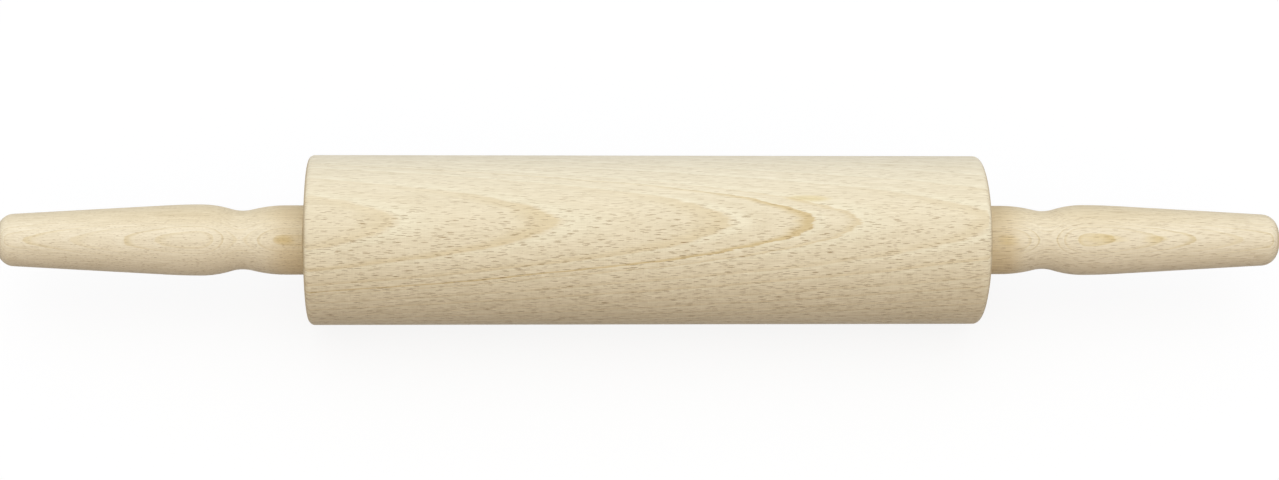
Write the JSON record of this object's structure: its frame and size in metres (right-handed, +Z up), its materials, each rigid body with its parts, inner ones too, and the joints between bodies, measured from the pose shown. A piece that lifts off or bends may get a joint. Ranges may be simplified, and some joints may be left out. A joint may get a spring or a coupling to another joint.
{
  "type": "rolling pin",
  "caption": "Wooden rolling pin with two turned handles and a cylindrical barrel that turns freely on a steel axle.",
  "frame": {"origin": "under the middle of the barrel, at the height of the surface that the barrel rests on", "axes": "+X along the axle towards the right handle, +Z up, +Y away from the viewer"},
  "size_m": [0.4554, 0.06, 0.06],
  "materials": {
    "barrel_wood": "bare fine-sanded beech",
    "handle_wood": "bare fine-sanded beech",
    "steel": "bright drawn steel",
    "zinc_plate": "zinc plated",
    "nylon": "natural nylon"
  },
  "bodies": {
    "spindle": {"axle": "steel", "left_washer": "steel", "right_washer": "steel", "left_insert": "zinc_plate", "right_insert": "zinc_plate", "left_handle": "handle_wood", "right_handle": "handle_wood"},
    "roller": {"barrel": "barrel_wood", "left_bush": "nylon", "right_bush": "nylon"}
  },
  "joints": [
    {"name": "barrel_spin", "type": "hinge", "parent": "spindle", "child": "roller", "pos_m": [0, 0, 0.03], "axis": [1, 0, 0], "continuous": true}
  ]
}
